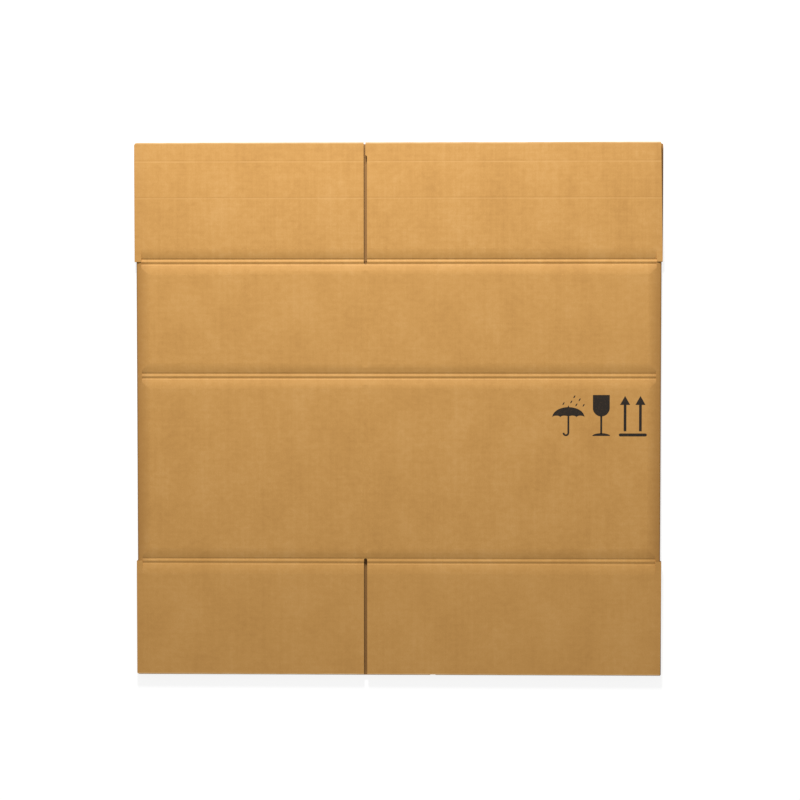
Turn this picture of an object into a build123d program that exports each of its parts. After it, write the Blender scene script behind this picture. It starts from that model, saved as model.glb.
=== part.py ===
"""Knocked-down corrugated shipping box, lying flat with its front face up.

One sheet of single-wall board is scored and slotted, folded in half at its two outer scores,
glued along one seam at the back and pressed flat. The front layer shows a narrow and a wide
wall panel side by side; the back layer holds the other two. Each panel has a flap at its top
and at its bottom. The four front flaps turn on their scores, so each is a piece of its own;
the four back flaps lie under them and belong to the folded tube.
"""
from build123d import *
import math
import os

# Millimetres. +X runs across the front face, +Y up it, +Z out of it; the floor is at z = 0.

# ---- the board ----
board = 4.0                # single-wall corrugated board
pressed_tab = 2.9          # the same board in the seam's tab, flattened by the gluing rollers
tab_clearance = 0.3        # air between the tab and the front layer

# ---- wall panels and flaps ----
narrow_panel = 350.0       # front left and back right, from fold to score
wide_panel = 450.0         # front right and back left
upper_depth = 174.0        # from the top flaps' score down to the extra score
lower_depth = 283.0        # from the extra score down to the bottom flaps' score
top_flap = 181.0           # score to free edge, front layer
bottom_flap = 174.0
layer_slip = 2.0           # the back layer lies this much lower than the front one
side_overhang = 2.0        # the flaps' cut sides stand this far out past the folds
flap_corner = 2.0          # radius at the flaps' free corners
worn_corner = 5.0          # radius at the top left corner, rounded by handling
outer_taper = 3.0          # the top right flap's outer side leans in by this much
bottom_taper = 1.0         # and the bottom right flap's by this much

# ---- slots between the flaps ----
slot = 5.0                 # width of the knife cut
slot_overrun = 4.0         # how far a slot runs past the score, into the wall panels
nib_width = 2.4            # waste left on the knife's exit side of the top slot
nib_length = 19.0

# ---- scores, measured across from the centre line and down from the face ----
score_reach = 20.0         # where the pressed valley begins
rim_offset = 5.3           # edge of the scoring tool's mark
groove_offset = 3.6        # bottoms of its two grooves
bead_offset = 2.0          # sides of the bead between them
rim_depth = 1.7
groove_depth = 2.3
bead_side_depth = 2.0
bead_depth = 1.5
inner_groove_half = 3.0    # groove on the board's inner face
inner_groove_depth = 0.7
score_setback = 8.0        # scores fade out this far from the folds
top_press = 1.0            # how hard each score is pressed, as a share of the depths above
extra_press = 0.9
bottom_press = 0.75
wall_score_half = 6.0      # the upright score between the two front panels, hardly pressed
wall_score_depth = 0.35

# ---- folds at the left and right ----
fold_shoulder = 20.0       # the faces start to round off this far from a fold
fold_drop = 1.6            # and have come down by this much where the nose begins
crotch_setback = 1.5       # end of the air gap, inwards from the nose's centre
crotch_half = 0.3

# ---- glued seam at the back ----
seam_gap = 6.0             # between the two back panels' edges
tab_width = 38.0
tab_inset = 7.0            # tab's ends, inside the flap scores
tab_angle = 15.0           # slant of its ends, degrees

hinge_lift = 0.15          # a flap turns about a line this far over the front face
lift = 4.0                 # how far cutters reach past a face

# ---- places worked out from the sizes above ----
air_gap = pressed_tab + tab_clearance
stack = 2 * board + air_gap                      # height of the flattened tube
nose_radius = stack / 2 - fold_drop
right_fold = (narrow_panel + wide_panel) / 2
left_fold = -right_fold
wall_score_x = left_fold + narrow_panel
seam_x = left_fold + wide_panel
full_height = top_flap + upper_depth + lower_depth + bottom_flap + layer_slip
top_edge = full_height / 2
top_score = top_edge - top_flap
extra_score = top_score - upper_depth
bottom_score = extra_score - lower_depth
bottom_edge = bottom_score - bottom_flap
front_under = stack - board                      # underside of the front layer


def prism(outline, z_low, z_high):
    """Upright prism on a plan outline, a list of points."""
    face = make_face(Polyline(*outline, close=True).edges())
    return Pos(0, 0, z_low) * extrude(face, amount=z_high - z_low, dir=(0, 0, 1))


def block(x_low, x_high, y_low, y_high, z_low, z_high):
    corners = [(x_low, y_low), (x_high, y_low), (x_high, y_high), (x_low, y_high)]
    return prism(corners, z_low, z_high)


def tube_section():
    """The flattened tube seen along its folds: flat faces, soft shoulders and round noses."""
    shoulder_l, shoulder_r = left_fold + fold_shoulder, right_fold - fold_shoulder
    nose_l, nose_r = left_fold + nose_radius, right_fold - nose_radius
    low, high, middle = fold_drop, stack - fold_drop, stack / 2
    outer = [
        Line((shoulder_l, stack), (shoulder_r, stack)),
        TangentArc((shoulder_r, stack), (nose_r, high), tangent=(1, 0)),
        ThreePointArc((nose_r, high), (right_fold, middle), (nose_r, low)),
        TangentArc((shoulder_r, 0), (nose_r, low), tangent=(1, 0)),
        Line((shoulder_r, 0), (shoulder_l, 0)),
        TangentArc((shoulder_l, 0), (nose_l, low), tangent=(-1, 0)),
        ThreePointArc((nose_l, low), (left_fold, middle), (nose_l, high)),
        TangentArc((shoulder_l, stack), (nose_l, high), tangent=(-1, 0)),
    ]
    crotch_l, crotch_r = nose_l + crotch_setback, nose_r - crotch_setback
    below, above = middle - crotch_half, middle + crotch_half
    air = [
        Line((shoulder_l, front_under), (shoulder_r, front_under)),
        TangentArc((shoulder_r, front_under), (crotch_r, above), tangent=(1, 0)),
        ThreePointArc((crotch_r, above), (crotch_r + crotch_half, middle), (crotch_r, below)),
        TangentArc((shoulder_r, board), (crotch_r, below), tangent=(1, 0)),
        Line((shoulder_r, board), (shoulder_l, board)),
        TangentArc((shoulder_l, board), (crotch_l, below), tangent=(-1, 0)),
        ThreePointArc((crotch_l, below), (crotch_l - crotch_half, middle), (crotch_l, above)),
        TangentArc((shoulder_l, front_under), (crotch_l, above), tangent=(-1, 0)),
    ]
    return make_face(outer) - make_face(air)


def folded_tube():
    """The four wall panels, folded and closed except for the seam's gap."""
    section = Plane.XZ.offset(-top_score) * tube_section()
    tube = extrude(section, amount=top_score - bottom_score)
    gap = block(seam_x, seam_x + seam_gap, bottom_score - lift, top_score + lift, -lift, board)
    return tube - gap


def seam_tab():
    """Tab of the back left panel, stepped up over the seam's gap and glued inside the other."""
    start, foot, end = seam_x, seam_x + seam_gap, seam_x + seam_gap + tab_width
    top = board + pressed_tab
    profile = [(start, 0), (foot, board), (end, board), (end, top), (foot, top), (start, board)]
    face = Plane.XZ.offset(-top_score) * make_face(Polyline(*profile, close=True).edges())
    strip = extrude(face, amount=top_score - bottom_score)
    slant = (end - start) * math.tan(math.radians(tab_angle))
    low, high = bottom_score + tab_inset, top_score - tab_inset
    plan = [(start, low), (end, low + slant), (end, high - slant), (start, high)]
    return strip & prism(plan, -lift, stack)


def back_flap(x_low, x_high, y_low, y_high):
    """A back flap, level with the back layer that it continues."""
    flap = block(x_low, x_high, y_low, y_high, 0, board)
    free_y = y_high if y_high > top_score else y_low
    corners = [e for e in flap.edges().filter_by(Axis.Z) if abs(e.center().Y - free_y) < 1]
    return fillet(corners, flap_corner)


def back_flaps():
    """The four back flaps: wide ones on the left, narrow ones on the right of the seam."""
    flaps = []
    for y_low, y_high in ((top_score, top_edge - layer_slip),
                          (bottom_edge - layer_slip, bottom_score)):
        flaps.append(back_flap(left_fold - side_overhang / 2, seam_x, y_low, y_high))
        flaps.append(back_flap(seam_x + seam_gap, right_fold + side_overhang, y_low, y_high))
    return flaps


def score_cutter(press):
    """What the scoring tool presses out of the outer face, as a bar along X at the origin."""
    rim, groove = rim_depth * press, groove_depth * press
    side, bead = bead_side_depth * press, bead_depth * press
    edges = [
        TangentArc((-score_reach, 0), (-rim_offset, -rim), tangent=(1, 0)),
        ThreePointArc((-rim_offset, -rim), (-groove_offset, -groove), (-bead_offset, -side)),
        ThreePointArc((-bead_offset, -side), (0, -bead), (bead_offset, -side)),
        ThreePointArc((bead_offset, -side), (groove_offset, -groove), (rim_offset, -rim)),
        TangentArc((score_reach, 0), (rim_offset, -rim), tangent=(-1, 0)),
        Polyline((score_reach, 0), (score_reach, lift), (-score_reach, lift), (-score_reach, 0)),
    ]
    return bar_along_x(edges)


def inner_groove_cutter():
    """The shallow groove on the board's inner face, as a bar along X at the origin."""
    half, deep = inner_groove_half, inner_groove_depth
    edges = [
        ThreePointArc((-half, 0), (0, deep), (half, 0)),
        Polyline((half, 0), (half, -board / 4), (-half, -board / 4), (-half, 0)),
    ]
    return bar_along_x(edges)


def bar_along_x(edges):
    """A cutter with this section that runs from one end of the scores to the other."""
    face = Plane.YZ.offset(left_fold + score_setback) * make_face(edges)
    return extrude(face, amount=right_fold - left_fold - 2 * score_setback)


def upside_down(cutter):
    return Rot(180, 0, 0) * cutter


def front_scores():
    """Cutters for the three level scores of the front layer, on its face and its underside."""
    cutters = []
    for y, press in ((top_score, top_press), (extra_score, extra_press),
                     (bottom_score, bottom_press)):
        cutters.append(Pos(0, y, stack) * score_cutter(press))
        cutters.append(Pos(0, y, front_under) * inner_groove_cutter())
    return cutters


def back_scores():
    """The same for the back layer. The extra score's inner groove stops short of the tab."""
    cutters = []
    for y, press in ((top_score, top_press), (extra_score, extra_press),
                     (bottom_score, bottom_press)):
        cutters.append(Pos(0, y - layer_slip, 0) * upside_down(score_cutter(press)))
        groove = Pos(0, y - layer_slip, board) * upside_down(inner_groove_cutter())
        if y == extra_score:
            tab_end = seam_x + seam_gap + tab_width
            groove -= block(seam_x - tab_clearance, tab_end + tab_clearance,
                            y - score_reach, y + score_reach, 0, stack)
        cutters.append(groove)
    return cutters


def wall_score():
    """The upright score between the front panels, a hardly pressed hollow from slot to slot."""
    half, deep = wall_score_half, wall_score_depth
    edges = [
        ThreePointArc((-half, 0), (0, -deep), (half, 0)),
        Polyline((half, 0), (half, lift), (-half, lift), (-half, 0)),
    ]
    face = Plane.XZ.offset(-top_score) * Pos(wall_score_x, stack) * make_face(edges)
    return extrude(face, amount=top_score - bottom_score)


def slot_ends():
    """The slots' round inner ends, cut a little way into the front and the back panels."""
    cutters = []
    for x, width, z_low, z_high in (
        (wall_score_x, slot, front_under - air_gap / 2, stack + lift),
        (seam_x + seam_gap / 2, seam_gap, -lift, board + air_gap / 2),
    ):
        radius = width / 2
        for score_y, way in ((top_score, -1), (bottom_score, 1)):
            end_y = score_y + way * (slot_overrun - radius)
            low, high = sorted((end_y, score_y - way * lift))
            straight = block(x - radius, x + radius, low, high, z_low, z_high)
            round_end = Pos(x, end_y, (z_low + z_high) / 2) * Cylinder(radius, z_high - z_low)
            cutters.append(straight + round_end)
    return cutters


def box_tube():
    """The folded and glued tube with its four back flaps, one piece of board."""
    body = folded_tube() + seam_tab() + back_flaps()
    return body - (front_scores() + back_scores() + slot_ends()) - wall_score()


def front_flap(outline, rounded):
    """A front flap, level with the front layer. Rounded holds (corner point, radius) pairs."""
    flap = prism(outline, front_under, stack)
    for (x, y), radius in rounded:
        corner = [e for e in flap.edges().filter_by(Axis.Z)
                  if abs(e.center().X - x) < 0.01 and abs(e.center().Y - y) < 0.01]
        flap = fillet(corner, radius)
    return flap - front_scores()


def top_left_flap():
    """Narrow top flap, with the corner that handling has rounded."""
    outer, inner = left_fold - side_overhang, wall_score_x - slot / 2
    outline = [(outer, top_score), (inner, top_score), (inner, top_edge), (outer, top_edge)]
    return front_flap(outline, [((outer, top_edge), worn_corner)])


def top_right_flap():
    """Wide top flap. The knife left a nib at its slot, and its outer side leans in."""
    inner, outer = wall_score_x + slot / 2, right_fold + side_overhang / 2
    far = outer - outer_taper
    nib = inner - nib_width
    outline = [(inner, top_score), (outer, top_score), (far, top_edge), (nib, top_edge),
               (nib, top_edge - nib_length), (inner, top_edge - nib_length - nib_width)]
    return front_flap(outline, [((far, top_edge), flap_corner)])


def bottom_left_flap():
    """Narrow bottom flap."""
    outer, inner = left_fold - side_overhang / 2, wall_score_x - slot / 2
    outline = [(outer, bottom_edge), (inner, bottom_edge), (inner, bottom_score),
               (outer, bottom_score)]
    return front_flap(outline, [((outer, bottom_edge), flap_corner)])


def bottom_right_flap():
    """Wide bottom flap, leaning in a little at its outer side."""
    inner, outer = wall_score_x + slot / 2, right_fold + side_overhang / 2
    far = outer - bottom_taper
    outline = [(inner, bottom_edge), (far, bottom_edge), (outer, bottom_score),
               (inner, bottom_score)]
    return front_flap(outline, [((far, bottom_edge), flap_corner)])


os.makedirs("parts", exist_ok=True)
export_step(box_tube(), "parts/box_tube.step")
export_step(top_left_flap(), "parts/top_left_flap.step")
export_step(top_right_flap(), "parts/top_right_flap.step")
export_step(bottom_left_flap(), "parts/bottom_left_flap.step")
export_step(bottom_right_flap(), "parts/bottom_right_flap.step")
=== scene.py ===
"""A flattened slotted box of brown single-wall corrugated board, lying flat on the floor."""
import math

import bmesh
import bpy
from mathutils import Matrix, Vector


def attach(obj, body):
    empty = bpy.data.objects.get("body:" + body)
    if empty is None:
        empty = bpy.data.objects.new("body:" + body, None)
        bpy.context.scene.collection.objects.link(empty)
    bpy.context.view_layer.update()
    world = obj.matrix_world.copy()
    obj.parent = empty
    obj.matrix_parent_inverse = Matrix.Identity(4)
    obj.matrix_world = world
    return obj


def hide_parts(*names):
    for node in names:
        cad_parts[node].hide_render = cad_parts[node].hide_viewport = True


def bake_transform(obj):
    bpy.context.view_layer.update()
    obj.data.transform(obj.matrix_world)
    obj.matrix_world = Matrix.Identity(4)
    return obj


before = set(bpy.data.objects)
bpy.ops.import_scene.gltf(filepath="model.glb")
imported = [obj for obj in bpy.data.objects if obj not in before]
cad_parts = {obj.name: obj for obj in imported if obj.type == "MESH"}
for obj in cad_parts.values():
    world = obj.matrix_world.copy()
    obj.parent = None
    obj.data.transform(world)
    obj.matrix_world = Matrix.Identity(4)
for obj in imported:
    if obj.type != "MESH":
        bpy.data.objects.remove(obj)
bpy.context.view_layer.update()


# ---- Folded tube: four wall panels, the glue tab and the four back flaps ----
# One sheet of brown fluted board, scored, folded in half and glued to itself.
# The die pressed its creases, and its cut edges show the wave between two liners.
BOARD = 0.004
BACK_MIDDLE = 0.002
FRONT_MIDDLE = 0.0092
BETWEEN_LAYERS = 0.0056
FLUTE_PITCH = 0.0078
KRAFT = (0.556, 0.286, 0.074, 1.0)
KRAFT_PALE = (0.660, 0.372, 0.125, 1.0)
KRAFT_DEEP = (0.430, 0.205, 0.046, 1.0)
# The inner liner's darker tone, deepened by painted shade for the narrow gap between the layers.
INNER_LINER_AND_SHADE = (0.320, 0.160, 0.046, 1.0)
# Painted shade for the rounded folds at both side edges, darkest at the folds.
FOLD_SHADE = (0.330, 0.150, 0.032, 1.0)
FOLD_START = 0.378
FOLD_REACH = 0.024
# Painted shade for the open flutes on cut edges, dark between the wave and the liners.
FLUTE_HOLLOW_SHADE = (0.150, 0.072, 0.020, 1.0)
LINER_EDGE = (0.640, 0.390, 0.155, 1.0)
CLOUD_STRETCH = (16.0, 11.0, 4.0)
PATCH_STRETCH = (95.0, 120.0, 8.0)
UPRIGHT_STREAK_STRETCH = (210.0, 7.0, 3.0)
LEVEL_STREAK_STRETCH = (9.0, 260.0, 3.0)
FIBRE_STRETCH = (900.0, 420.0, 600.0)
FLECK_STRETCH = (900.0, 1500.0, 900.0)
LINE_BREAK_STRETCH = (38.0, 6.0, 3.0)
MAIN_SHARE = 0.6
GRAIN_STRENGTH = 0.42
FLECK_LEVEL = 0.70
FLECK_SHARPNESS = 6.0
FLECK_STRENGTH = 0.6
SMOOTHEST = 0.54
ROUGHNESS_SPREAD = 0.16
EDGE_UPRIGHT = 0.80
EDGE_SHARPNESS = 8.0
ACROSS_FLUTES = 0.8
WAVE_HEIGHT = 0.36 * BOARD
WAVE_PAPER = 0.075 * BOARD
LINER_FROM = 0.41 * BOARD


def group_node(group, kind, **settings):
    """Add one node to a node tree and set its plain attributes."""
    node = group.nodes.new(kind)
    for name, value in settings.items():
        setattr(node, name, value)
    return node


def maths(group, operation, first, second=None, clamp=False):
    """Add one Math node and give its result; each operand is a socket or a number."""
    node = group_node(group, "ShaderNodeMath", operation=operation, use_clamp=clamp)
    for place, value in enumerate((first, second)):
        if value is None:
            continue
        if isinstance(value, (int, float)):
            node.inputs[place].default_value = value
        else:
            group.links.new(value, node.inputs[place])
    return node.outputs[0]


def blend_colour(group, factor, first, second):
    """Mix two colours; each is a socket or an RGBA value."""
    node = group_node(group, "ShaderNodeMix", data_type="RGBA")
    group.links.new(factor, node.inputs[0])
    for place, value in ((6, first), (7, second)):
        if isinstance(value, tuple):
            node.inputs[place].default_value = value
        else:
            group.links.new(value, node.inputs[place])
    return node.outputs[2]


def stretched_noise(group, place, stretch, detail):
    """Noise on the object's own coordinates, squeezed by stretch along each axis."""
    mapping = group_node(group, "ShaderNodeMapping")
    mapping.inputs["Scale"].default_value = stretch
    group.links.new(place, mapping.inputs["Vector"])
    noise = group_node(group, "ShaderNodeTexNoise")
    noise.inputs["Scale"].default_value = 1.0
    noise.inputs["Detail"].default_value = detail
    group.links.new(mapping.outputs[0], noise.inputs["Vector"])
    return noise.outputs[0]


def new_group(name, inputs, outputs):
    """A shader node group with float inputs, and outputs of a named kind."""
    group = bpy.data.node_groups.new(name, "ShaderNodeTree")
    for label, start in inputs:
        socket = group.interface.new_socket(label, in_out="INPUT", socket_type="NodeSocketFloat")
        socket.default_value = start
    for label, kind in outputs:
        group.interface.new_socket(label, in_out="OUTPUT", socket_type=kind)
    return group, group.nodes.new("NodeGroupInput"), group.nodes.new("NodeGroupOutput")


def shared_sum(group, main, other):
    """Two noises added, the main one at its share and the other at the rest."""
    main_part = maths(group, "MULTIPLY", main, MAIN_SHARE)
    other_part = maths(group, "MULTIPLY", other, 1.0 - MAIN_SHARE)
    return maths(group, "ADD", main_part, other_part)


def liner_group():
    """Kraft liner: cloudy mottling, long faint streaks, paper fibres and dark flecks."""
    group, given, result = new_group(
        "kraft_liner",
        (("Mottle", 0.5), ("Streaks", 0.3)),
        (("Color", "NodeSocketColor"), ("Height", "NodeSocketFloat"), ("Roughness", "NodeSocketFloat")),
    )
    place = group.nodes.new("ShaderNodeTexCoord").outputs["Object"]
    clouds = stretched_noise(group, place, CLOUD_STRETCH, 4.0)
    patches = stretched_noise(group, place, PATCH_STRETCH, 6.0)
    upright = stretched_noise(group, place, UPRIGHT_STREAK_STRETCH, 3.0)
    level = stretched_noise(group, place, LEVEL_STREAK_STRETCH, 3.0)
    fibres = stretched_noise(group, place, FIBRE_STRETCH, 4.0)
    flecks = stretched_noise(group, place, FLECK_STRETCH, 1.0)
    cloudy = shared_sum(group, clouds, patches)
    cloudy = maths(group, "MULTIPLY", maths(group, "SUBTRACT", cloudy, 0.5), given.outputs["Mottle"])
    lines = shared_sum(group, upright, level)
    lines = maths(group, "MULTIPLY", maths(group, "SUBTRACT", lines, 0.5), given.outputs["Streaks"])
    grain = maths(group, "MULTIPLY", maths(group, "SUBTRACT", fibres, 0.5), GRAIN_STRENGTH)
    pattern = maths(group, "ADD", cloudy, lines)
    tone = maths(group, "ADD", pattern, maths(group, "ADD", grain, 0.5), clamp=True)
    lighter = maths(group, "MULTIPLY", maths(group, "SUBTRACT", tone, 0.5), 2.0, clamp=True)
    darker = maths(group, "MULTIPLY", maths(group, "SUBTRACT", 0.5, tone), 2.0, clamp=True)
    colour = blend_colour(group, lighter, KRAFT, KRAFT_PALE)
    colour = blend_colour(group, darker, colour, KRAFT_DEEP)
    above_level = maths(group, "SUBTRACT", flecks, FLECK_LEVEL)
    fleck = maths(group, "MULTIPLY", above_level, FLECK_SHARPNESS, clamp=True)
    colour = blend_colour(group, maths(group, "MULTIPLY", fleck, FLECK_STRENGTH), colour, KRAFT_DEEP)
    height = maths(group, "ADD", maths(group, "MULTIPLY", fibres, 0.6), patches)
    roughness = maths(group, "ADD", maths(group, "MULTIPLY", patches, ROUGHNESS_SPREAD), SMOOTHEST)
    group.links.new(colour, result.inputs["Color"])
    group.links.new(height, result.inputs["Height"])
    group.links.new(roughness, result.inputs["Roughness"])
    return group


def cut_edge_group():
    """Where a face stands upright: a mask, and the wave between the liners on cuts across it."""
    group, given, result = new_group(
        "cut_edge",
        (("Pitch", FLUTE_PITCH),),
        (("Edge", "NodeSocketFloat"), ("Paper", "NodeSocketFloat")),
    )
    place = group.nodes.new("ShaderNodeTexCoord")
    where = group.nodes.new("ShaderNodeSeparateXYZ")
    group.links.new(place.outputs["Object"], where.inputs[0])
    facing = group.nodes.new("ShaderNodeSeparateXYZ")
    group.links.new(place.outputs["Normal"], facing.inputs[0])
    upright = maths(group, "SUBTRACT", 1.0, maths(group, "ABSOLUTE", facing.outputs["Z"]))
    past_upright = maths(group, "SUBTRACT", upright, EDGE_UPRIGHT)
    edge = maths(group, "MULTIPLY", past_upright, EDGE_SHARPNESS, clamp=True)
    across = maths(group, "GREATER_THAN", maths(group, "ABSOLUTE", facing.outputs["Y"]), ACROSS_FLUTES)
    is_front = maths(group, "GREATER_THAN", where.outputs["Z"], BETWEEN_LAYERS)
    lift = maths(group, "MULTIPLY", is_front, FRONT_MIDDLE - BACK_MIDDLE)
    middle = maths(group, "ADD", lift, BACK_MIDDLE)
    height = maths(group, "SUBTRACT", where.outputs["Z"], middle)
    full_turns = maths(group, "MULTIPLY", where.outputs["X"], 2.0 * math.pi)
    turn = maths(group, "DIVIDE", full_turns, given.outputs["Pitch"])
    wave = maths(group, "MULTIPLY", maths(group, "SINE", turn), WAVE_HEIGHT)
    from_wave = maths(group, "ABSOLUTE", maths(group, "SUBTRACT", height, wave))
    on_wave = maths(group, "LESS_THAN", from_wave, WAVE_PAPER)
    on_liner = maths(group, "GREATER_THAN", maths(group, "ABSOLUTE", height), LINER_FROM)
    along = maths(group, "SUBTRACT", 1.0, across)
    paper = maths(group, "ADD", maths(group, "ADD", on_wave, on_liner), along, clamp=True)
    group.links.new(edge, result.inputs["Edge"])
    group.links.new(paper, result.inputs["Paper"])
    return group


KRAFT_LINER = liner_group()
CUT_EDGE = cut_edge_group()


def board_material(name, mottle, streaks, level_lines, fold_shade_strength):
    """Board as seen: liner on its faces, fluting on its cuts with painted shade in the open flutes,
    painted shade between the layers and near the folds, and lines of painted highlight and shade at
    given places.
    """
    material = bpy.data.materials.new(name)
    material.use_nodes = True
    tree = material.node_tree
    shader = tree.nodes["Principled BSDF"]
    shader.inputs["Specular IOR Level"].default_value = 0.35
    liner = group_node(tree, "ShaderNodeGroup", node_tree=KRAFT_LINER)
    liner.inputs["Mottle"].default_value = mottle
    liner.inputs["Streaks"].default_value = streaks
    cut = group_node(tree, "ShaderNodeGroup", node_tree=CUT_EDGE)
    # Cut edges: paper where the wave and the liners are, painted shade in the open flutes between them.
    shaded_cut_face = blend_colour(tree, cut.outputs["Paper"], FLUTE_HOLLOW_SHADE, LINER_EDGE)
    face = liner.outputs["Color"]
    where = tree.nodes.new("ShaderNodeSeparateXYZ")
    place = tree.nodes.new("ShaderNodeTexCoord").outputs["Object"]
    tree.links.new(place, where.inputs[0])
    # Faces between the layers, seen through the slots: the inner liner's tone with painted shade of the
    # narrow gap.
    below_front = maths(tree, "LESS_THAN", where.outputs["Z"], BETWEEN_LAYERS)
    above_back = maths(tree, "GREATER_THAN", where.outputs["Z"], BACK_MIDDLE)
    between_layers_shade = maths(tree, "MULTIPLY", below_front, above_back)
    face = blend_colour(tree, between_layers_shade, face, INNER_LINER_AND_SHADE)
    # Painted shade: darker towards the folded side edges, stronger on the tube than on the flaps.
    past_fold = maths(tree, "SUBTRACT", maths(tree, "ABSOLUTE", where.outputs["X"]), FOLD_START)
    painted_fold_shade = maths(tree, "DIVIDE", past_fold, FOLD_REACH, clamp=True)
    face = blend_colour(tree, maths(tree, "MULTIPLY", painted_fold_shade, fold_shade_strength), face, FOLD_SHADE)
    # Lines across the sheet: each a band of painted highlight or painted shade, broken by noise.
    breaks = stretched_noise(tree, place, LINE_BREAK_STRETCH, 3.0)
    for line_y, half_width, strength, tint in level_lines:
        off = maths(tree, "ABSOLUTE", maths(tree, "SUBTRACT", where.outputs["Y"], line_y))
        near = maths(tree, "SUBTRACT", 1.0, maths(tree, "DIVIDE", off, half_width), clamp=True)
        near = maths(tree, "MULTIPLY", near, maths(tree, "MULTIPLY", breaks, 2.0))
        face = blend_colour(tree, maths(tree, "MULTIPLY", near, strength, clamp=True), face, tint)
    colour = blend_colour(tree, cut.outputs["Edge"], face, shaded_cut_face)
    tree.links.new(colour, shader.inputs["Base Color"])
    tree.links.new(liner.outputs["Roughness"], shader.inputs["Roughness"])
    bump = group_node(tree, "ShaderNodeBump")
    bump.inputs["Strength"].default_value = 0.22
    bump.inputs["Distance"].default_value = 0.0004
    tree.links.new(liner.outputs["Height"], bump.inputs["Height"])
    tree.links.new(bump.outputs[0], shader.inputs["Normal"])
    return material


tube_board = board_material("tube_board", 1.05, 0.36, (), 0.70)
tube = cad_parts["box_tube"]
for tube_slot in tube.material_slots:
    tube_slot.material = tube_board


# ---- Front flaps: narrow and wide, above the top score and below the bottom score ----
# The same sheet beyond its scores, cut apart at the slots, so each turns on its crease.
# Each is the board's own shape with extra cuts near the score, where it bends.
TOP_SCORE = 0.226
BOTTOM_SCORE = -0.231
BEND_REACH = 0.007
BEND_CUTS = 12
# Painted highlight: a pale line along the flaps' free edges, where the edge catches the light.
RIM_HIGHLIGHT = (0.800, 0.560, 0.300, 1.0)
# Two faint creases across the top flaps, each a painted highlight beside painted shade, then the painted
# highlight on the free edge.
TOP_LINES = (
    (0.3775, 0.0015, 0.55, KRAFT_PALE),
    (0.3795, 0.0012, 0.30, KRAFT_DEEP),
    (0.3220, 0.0015, 0.40, KRAFT_PALE),
    (0.3240, 0.0014, 0.40, KRAFT_DEEP),
    (0.4066, 0.0022, 0.90, RIM_HIGHLIGHT),
)
BOTTOM_LINES = ((-0.4048, 0.0018, 0.60, RIM_HIGHLIGHT),)


def bending_flap(node, score, outward, material):
    """A copy of the flap's solid, cut across near its score so that it can bend there."""
    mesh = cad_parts[node].data.copy()
    mesh.name = node + "_board"
    bm = bmesh.new()
    bm.from_mesh(mesh)
    bmesh.ops.remove_doubles(bm, verts=bm.verts, dist=1e-6)
    for cut in range(1, BEND_CUTS + 1):
        at = score + outward * BEND_REACH * cut / BEND_CUTS
        whole = bm.verts[:] + bm.edges[:] + bm.faces[:]
        bmesh.ops.bisect_plane(bm, geom=whole, plane_co=(0, at, 0), plane_no=(0, 1, 0), dist=1e-7)
    bm.to_mesh(mesh)
    bm.free()
    mesh.materials.clear()
    mesh.materials.append(material)
    piece = bpy.data.objects.new(node + "_board", mesh)
    bpy.context.scene.collection.objects.link(piece)
    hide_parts(node)
    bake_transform(piece)


top_board = board_material("top_flap_board", 1.15, 0.50, TOP_LINES, 0.12)
bottom_board = board_material("bottom_flap_board", 0.85, 0.30, BOTTOM_LINES, 0.08)
bending_flap("top_left_flap", TOP_SCORE, 1, top_board)
bending_flap("top_right_flap", TOP_SCORE, 1, top_board)
bending_flap("bottom_left_flap", BOTTOM_SCORE, -1, bottom_board)
bending_flap("bottom_right_flap", BOTTOM_SCORE, -1, bottom_board)


# ---- Handling marks: umbrella with rain, glass, and two upright arrows ----
# Common shipping symbols in dark ink, pressed on the wide front panel by a rubber plate.
# Each is a film of ink a few hundredths of a millimetre thick.
INK_TOP = 0.01122
INK_DEPTH = 0.00004
MM = 0.001
INK = (0.022, 0.016, 0.011, 1.0)
INK_THIN = (0.110, 0.062, 0.028, 1.0)
INK_WEAR_STRETCH = (700.0, 520.0, 60.0)

ink = bpy.data.materials.new("printing_ink")
ink.use_nodes = True
ink_tree = ink.node_tree
ink_shader = ink_tree.nodes["Principled BSDF"]
ink_shader.inputs["Specular IOR Level"].default_value = 0.25
ink_place = ink_tree.nodes.new("ShaderNodeTexCoord").outputs["Object"]
ink_wear = stretched_noise(ink_tree, ink_place, INK_WEAR_STRETCH, 3.0)
ink_thin = maths(ink_tree, "MULTIPLY", maths(ink_tree, "SUBTRACT", ink_wear, 0.52), 1.6, clamp=True)
ink_tree.links.new(blend_colour(ink_tree, ink_thin, INK, INK_THIN), ink_shader.inputs["Base Color"])
ink_rough = maths(ink_tree, "ADD", maths(ink_tree, "MULTIPLY", ink_wear, 0.2), 0.55)
ink_tree.links.new(ink_rough, ink_shader.inputs["Roughness"])


def arc(centre_x, centre_y, across, up, start, end, steps=24):
    """Points round an ellipse, in millimetres, with angles in degrees."""
    turns = [math.radians(start + (end - start) * step / steps) for step in range(steps + 1)]
    return [(centre_x + across * math.cos(t), centre_y + up * math.sin(t)) for t in turns]


def ink_shape(name, outline):
    """Flat ink from a closed outline, given in millimetres on the sheet."""
    bm = bmesh.new()
    corners = [bm.verts.new((x * MM, y * MM, INK_TOP - INK_DEPTH)) for x, y in outline]
    bm.faces.new(corners)
    film = bmesh.ops.extrude_face_region(bm, geom=bm.faces[:])
    lifted = [part for part in film["geom"] if isinstance(part, bmesh.types.BMVert)]
    bmesh.ops.translate(bm, verts=lifted, vec=(0, 0, INK_DEPTH))
    bmesh.ops.recalc_face_normals(bm, faces=bm.faces[:])
    mesh = bpy.data.meshes.new(name)
    bm.to_mesh(mesh)
    bm.free()
    mesh.materials.append(ink)
    piece = bpy.data.objects.new(name, mesh)
    bpy.context.scene.collection.objects.link(piece)
    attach(piece, "tube")


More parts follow.
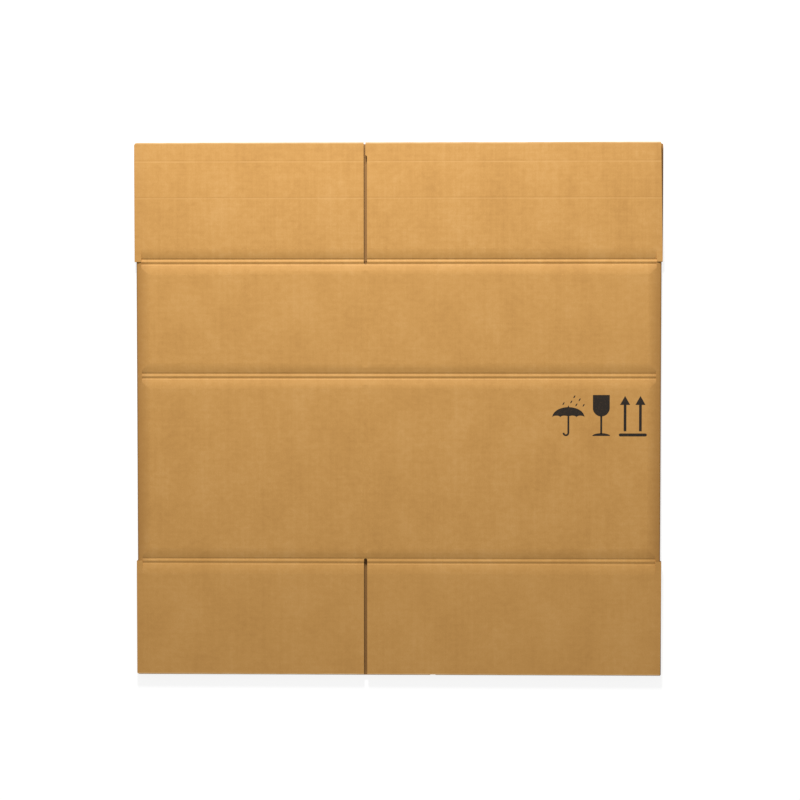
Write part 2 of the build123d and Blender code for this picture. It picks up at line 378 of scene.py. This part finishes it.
CANOPY_X = 259.0
CANOPY_Y = -10.6
CANOPY_HALF = 24.5
CANOPY_RISE = 15.6
SCALLOPS = 4
SCALLOP_RISE = 2.6
STEM_HALF = 1.4
HOOK_REACH = 3.7
HOOK_X = CANOPY_X - HOOK_REACH
HOOK_Y = -34.0
canopy = arc(CANOPY_X, CANOPY_Y, CANOPY_HALF, CANOPY_RISE, 0, 180, 40)
scallop_half = CANOPY_HALF / SCALLOPS
for scallop in range(SCALLOPS):
    scallop_x = CANOPY_X - CANOPY_HALF + scallop_half * (2 * scallop + 1)
    # Each scallop starts on the last point already there.
    canopy += arc(scallop_x, CANOPY_Y, scallop_half, SCALLOP_RISE, 180, 0, 10)[1:]
# The last scallop ends on the first point of the canopy.
canopy.pop()
canopy_tip = arc(CANOPY_X, CANOPY_Y + CANOPY_RISE, 1.0, 2.4, 0, 180, 8)
hook = arc(HOOK_X, HOOK_Y, HOOK_REACH + STEM_HALF, 5.2, 0, -180)
hook += arc(HOOK_X, HOOK_Y, 2.3, 2.5, -180, 0)
stem = [(CANOPY_X - STEM_HALF, HOOK_Y), (CANOPY_X + STEM_HALF, HOOK_Y)]
stem += [(CANOPY_X + STEM_HALF, CANOPY_Y + 1.0), (CANOPY_X - STEM_HALF, CANOPY_Y + 1.0)]
ink_shape("umbrella_canopy_mark", canopy)
ink_shape("umbrella_tip_mark", canopy_tip)
ink_shape("umbrella_stem_mark", stem)
ink_shape("umbrella_hook_mark", hook)

DROPS = ((268.0, 20.8), (275.9, 16.2), (263.3, 12.9), (251.5, 10.3), (271.1, 8.5), (282.0, 7.8))
DROP_SHAPE = (0.9, 2.5, 1.0)
DROP_SLANT = Matrix.Rotation(math.radians(-32), 3, "Z")
for number, (drop_x, drop_y) in enumerate(DROPS, 1):
    drop = bmesh.new()
    bmesh.ops.create_circle(drop, cap_ends=True, segments=16, radius=1.0)
    bmesh.ops.scale(drop, vec=DROP_SHAPE, verts=drop.verts)
    bmesh.ops.rotate(drop, cent=(0, 0, 0), matrix=DROP_SLANT, verts=drop.verts)
    rim = [(drop_x + corner.co.x, drop_y + corner.co.y) for corner in drop.verts]
    drop.free()
    ink_shape("raindrop_mark_%d" % number, rim)

GLASS_X = 308.9
BOWL_HALF = 12.8
GLASS_STEM_HALF = 1.5
bowl = [(GLASS_X + BOWL_HALF, 23.5), (GLASS_X - BOWL_HALF, 23.5)]
bowl += arc(GLASS_X, 3.7, BOWL_HALF, 12.9, 180, 360)
glass_stem = [(GLASS_X - GLASS_STEM_HALF, -35.5), (GLASS_X + GLASS_STEM_HALF, -35.5)]
glass_stem += [(GLASS_X + GLASS_STEM_HALF, -8.8), (GLASS_X - GLASS_STEM_HALF, -8.8)]
foot = arc(GLASS_X, -38.9, 13.5, 4.2, 0, 180)
ink_shape("glass_bowl_mark", bowl)
ink_shape("glass_stem_mark", glass_stem)
ink_shape("glass_foot_mark", foot)

SHAFT_HALF = 2.05
SHAFT_FOOT = -31.8
HEAD_HALF = 7.7
HEAD_FOOT = 8.4
HEAD_TIP = 22.1
BAR_Y = -37.3
BAR_END = 2.3
for side, arrow_x in (("left", 345.0), ("right", 368.3)):
    arrow = [(arrow_x - SHAFT_HALF, SHAFT_FOOT), (arrow_x + SHAFT_HALF, SHAFT_FOOT)]
    arrow += [(arrow_x + SHAFT_HALF, HEAD_FOOT), (arrow_x + HEAD_HALF, HEAD_FOOT)]
    arrow += [(arrow_x, HEAD_TIP), (arrow_x - HEAD_HALF, HEAD_FOOT), (arrow_x - SHAFT_HALF, HEAD_FOOT)]
    ink_shape(side + "_arrow_mark", arrow)
bar = arc(375.8, BAR_Y, BAR_END, BAR_END, -90, 90, 12) + arc(337.9, BAR_Y, BAR_END, BAR_END, 90, 270, 12)
ink_shape("arrow_bar_mark", bar)


# ---- Floor, lamps and camera ----
# A plain pale floor that keeps a faint shadow, under a low soft key from beyond the top edge.
# The camera looks almost straight down on the sheet.
FLOOR_SIZE = 30.0
FLOOR_DROP = 0.0004
FLOOR_GLOW = 0.80
FILL = 0.36
KEY_PLACE = (-0.15, 2.0, 1.15)
CAMERA_PLACE = (0.0488, 0.0941, 2.507)
CAMERA_AIM = (0.0027, 0.0157, 0.0112)
bpy.ops.mesh.primitive_plane_add(size=FLOOR_SIZE, location=(0, 0, -FLOOR_DROP))
floor = bpy.context.object
floor.name = "floor"
paper_floor = bpy.data.materials.new("pale_floor")
paper_floor.use_nodes = True
floor_tree = paper_floor.node_tree
floor_tree.nodes.clear()
matt = floor_tree.nodes.new("ShaderNodeBsdfDiffuse")
matt.inputs["Color"].default_value = (0.34, 0.34, 0.34, 1.0)
glow = floor_tree.nodes.new("ShaderNodeEmission")
glow.inputs["Color"].default_value = (1.0, 1.0, 1.0, 1.0)
rays = floor_tree.nodes.new("ShaderNodeLightPath")
seen = maths(floor_tree, "MAXIMUM", rays.outputs["Is Camera Ray"], rays.outputs["Is Glossy Ray"])
floor_tree.links.new(maths(floor_tree, "MULTIPLY", seen, FLOOR_GLOW), glow.inputs["Strength"])
both = floor_tree.nodes.new("ShaderNodeAddShader")
floor_tree.links.new(matt.outputs[0], both.inputs[0])
floor_tree.links.new(glow.outputs[0], both.inputs[1])
surface = floor_tree.nodes.new("ShaderNodeOutputMaterial")
floor_tree.links.new(both.outputs[0], surface.inputs["Surface"])
floor.data.materials.append(paper_floor)

scene = bpy.context.scene
scene.view_settings.view_transform = "Standard"
world = bpy.data.worlds.new("studio")
scene.world = world
world.use_nodes = True
air = world.node_tree
backdrop = air.nodes["Background"]
backdrop.inputs["Color"].default_value = (1.0, 1.0, 1.0, 1.0)
sight = air.nodes.new("ShaderNodeLightPath")
open_view = maths(air, "MULTIPLY", sight.outputs["Is Camera Ray"], 1.0 - FILL)
air.links.new(maths(air, "ADD", open_view, FILL), backdrop.inputs["Strength"])


def aimed(obj, place, target):
    """Put a lamp or the camera at a place, looking at a target, with the sheet's top edge upward."""
    backward = (Vector(place) - Vector(target)).normalized()
    rightward = Vector((0, 1, 0)).cross(backward).normalized()
    turned = Matrix((rightward, backward.cross(rightward), backward)).transposed().to_4x4()
    obj.matrix_world = Matrix.Translation(place) @ turned
    scene.collection.objects.link(obj)


key = bpy.data.lights.new("low_key", "AREA")
key.shape = "DISK"
key.size = 0.45
key.energy = 68.0
aimed(bpy.data.objects.new("low_key", key), KEY_PLACE, (0, 0, 0))

lens = bpy.data.cameras.new("camera")
lens.sensor_width = 36.0
lens.lens = 73.74
camera = bpy.data.objects.new("camera", lens)
aimed(camera, CAMERA_PLACE, CAMERA_AIM)
scene.camera = camera
